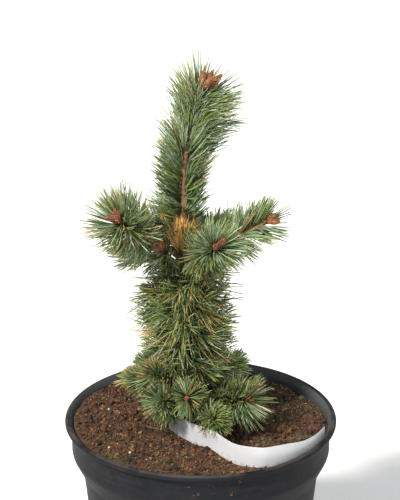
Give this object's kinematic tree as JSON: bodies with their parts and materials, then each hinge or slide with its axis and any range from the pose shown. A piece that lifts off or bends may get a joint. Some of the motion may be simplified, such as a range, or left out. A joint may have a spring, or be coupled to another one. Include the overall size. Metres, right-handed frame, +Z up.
{
  "type": "potted bristlecone pine",
  "caption": "Young bristlecone pine with a bottlebrush leader above a whorl of short budded boughs, in a round black nursery pot with a blank plant label.",
  "frame": {"origin": "centre of the pot's flat underside", "axes": "+Z up along the trunk, -Y towards the viewer, +X to the viewer's right"},
  "size_m": [0.224, 0.224, 0.4892],
  "materials": {
    "pot_plastic": "matt black moulded plastic, lightly scuffed",
    "potting_mix": "loose moist peat with bark chips",
    "label_plastic": "white printed-label film, left bare",
    "bark": "flaky brown bark",
    "needles": "waxy green needles, golden brown where dry",
    "buds": "scaly red-brown winter buds"
  },
  "bodies": {
    "root": {"pot": "pot_plastic", "potting_mix": "potting_mix", "plant_label": "label_plastic", "trunk": "bark", "leader_buds": "buds", "column_needles": "needles", "leader_needles": "needles", "left_bough": "bark", "left_bough_needles": "needles", "left_bough_buds": "buds", "front_bough": "bark", "front_bough_needles": "needles", "front_bough_buds": "buds", "right_bough": "bark", "right_bough_needles": "needles", "right_bough_buds": "buds", "short_left_bough": "bark", "short_left_bough_needles": "needles", "short_left_bough_buds": "buds", "lower_left_bough": "bark", "lower_left_bough_needles": "needles", "back_right_bough": "bark", "back_right_bough_needles": "needles", "back_left_bough": "bark", "back_left_bough_needles": "needles", "low_front_left_bough": "bark", "low_front_left_bough_needles": "needles", "low_front_bough": "bark", "low_front_bough_needles": "needles", "low_front_bough_buds": "buds", "low_front_right_bough": "bark", "low_front_right_bough_needles": "needles", "low_right_bough": "bark", "low_right_bough_needles": "needles", "low_right_bough_buds": "buds", "left_spur": "bark", "left_spur_needles": "needles", "low_left_bough": "bark", "low_left_bough_needles": "needles", "right_spur": "bark", "right_spur_needles": "needles", "low_back_left_bough": "bark", "low_back_left_bough_needles": "needles", "back_spur": "bark", "back_spur_needles": "needles", "low_back_right_bough": "bark", "low_back_right_bough_needles": "needles"}
  },
  "joints": []
}
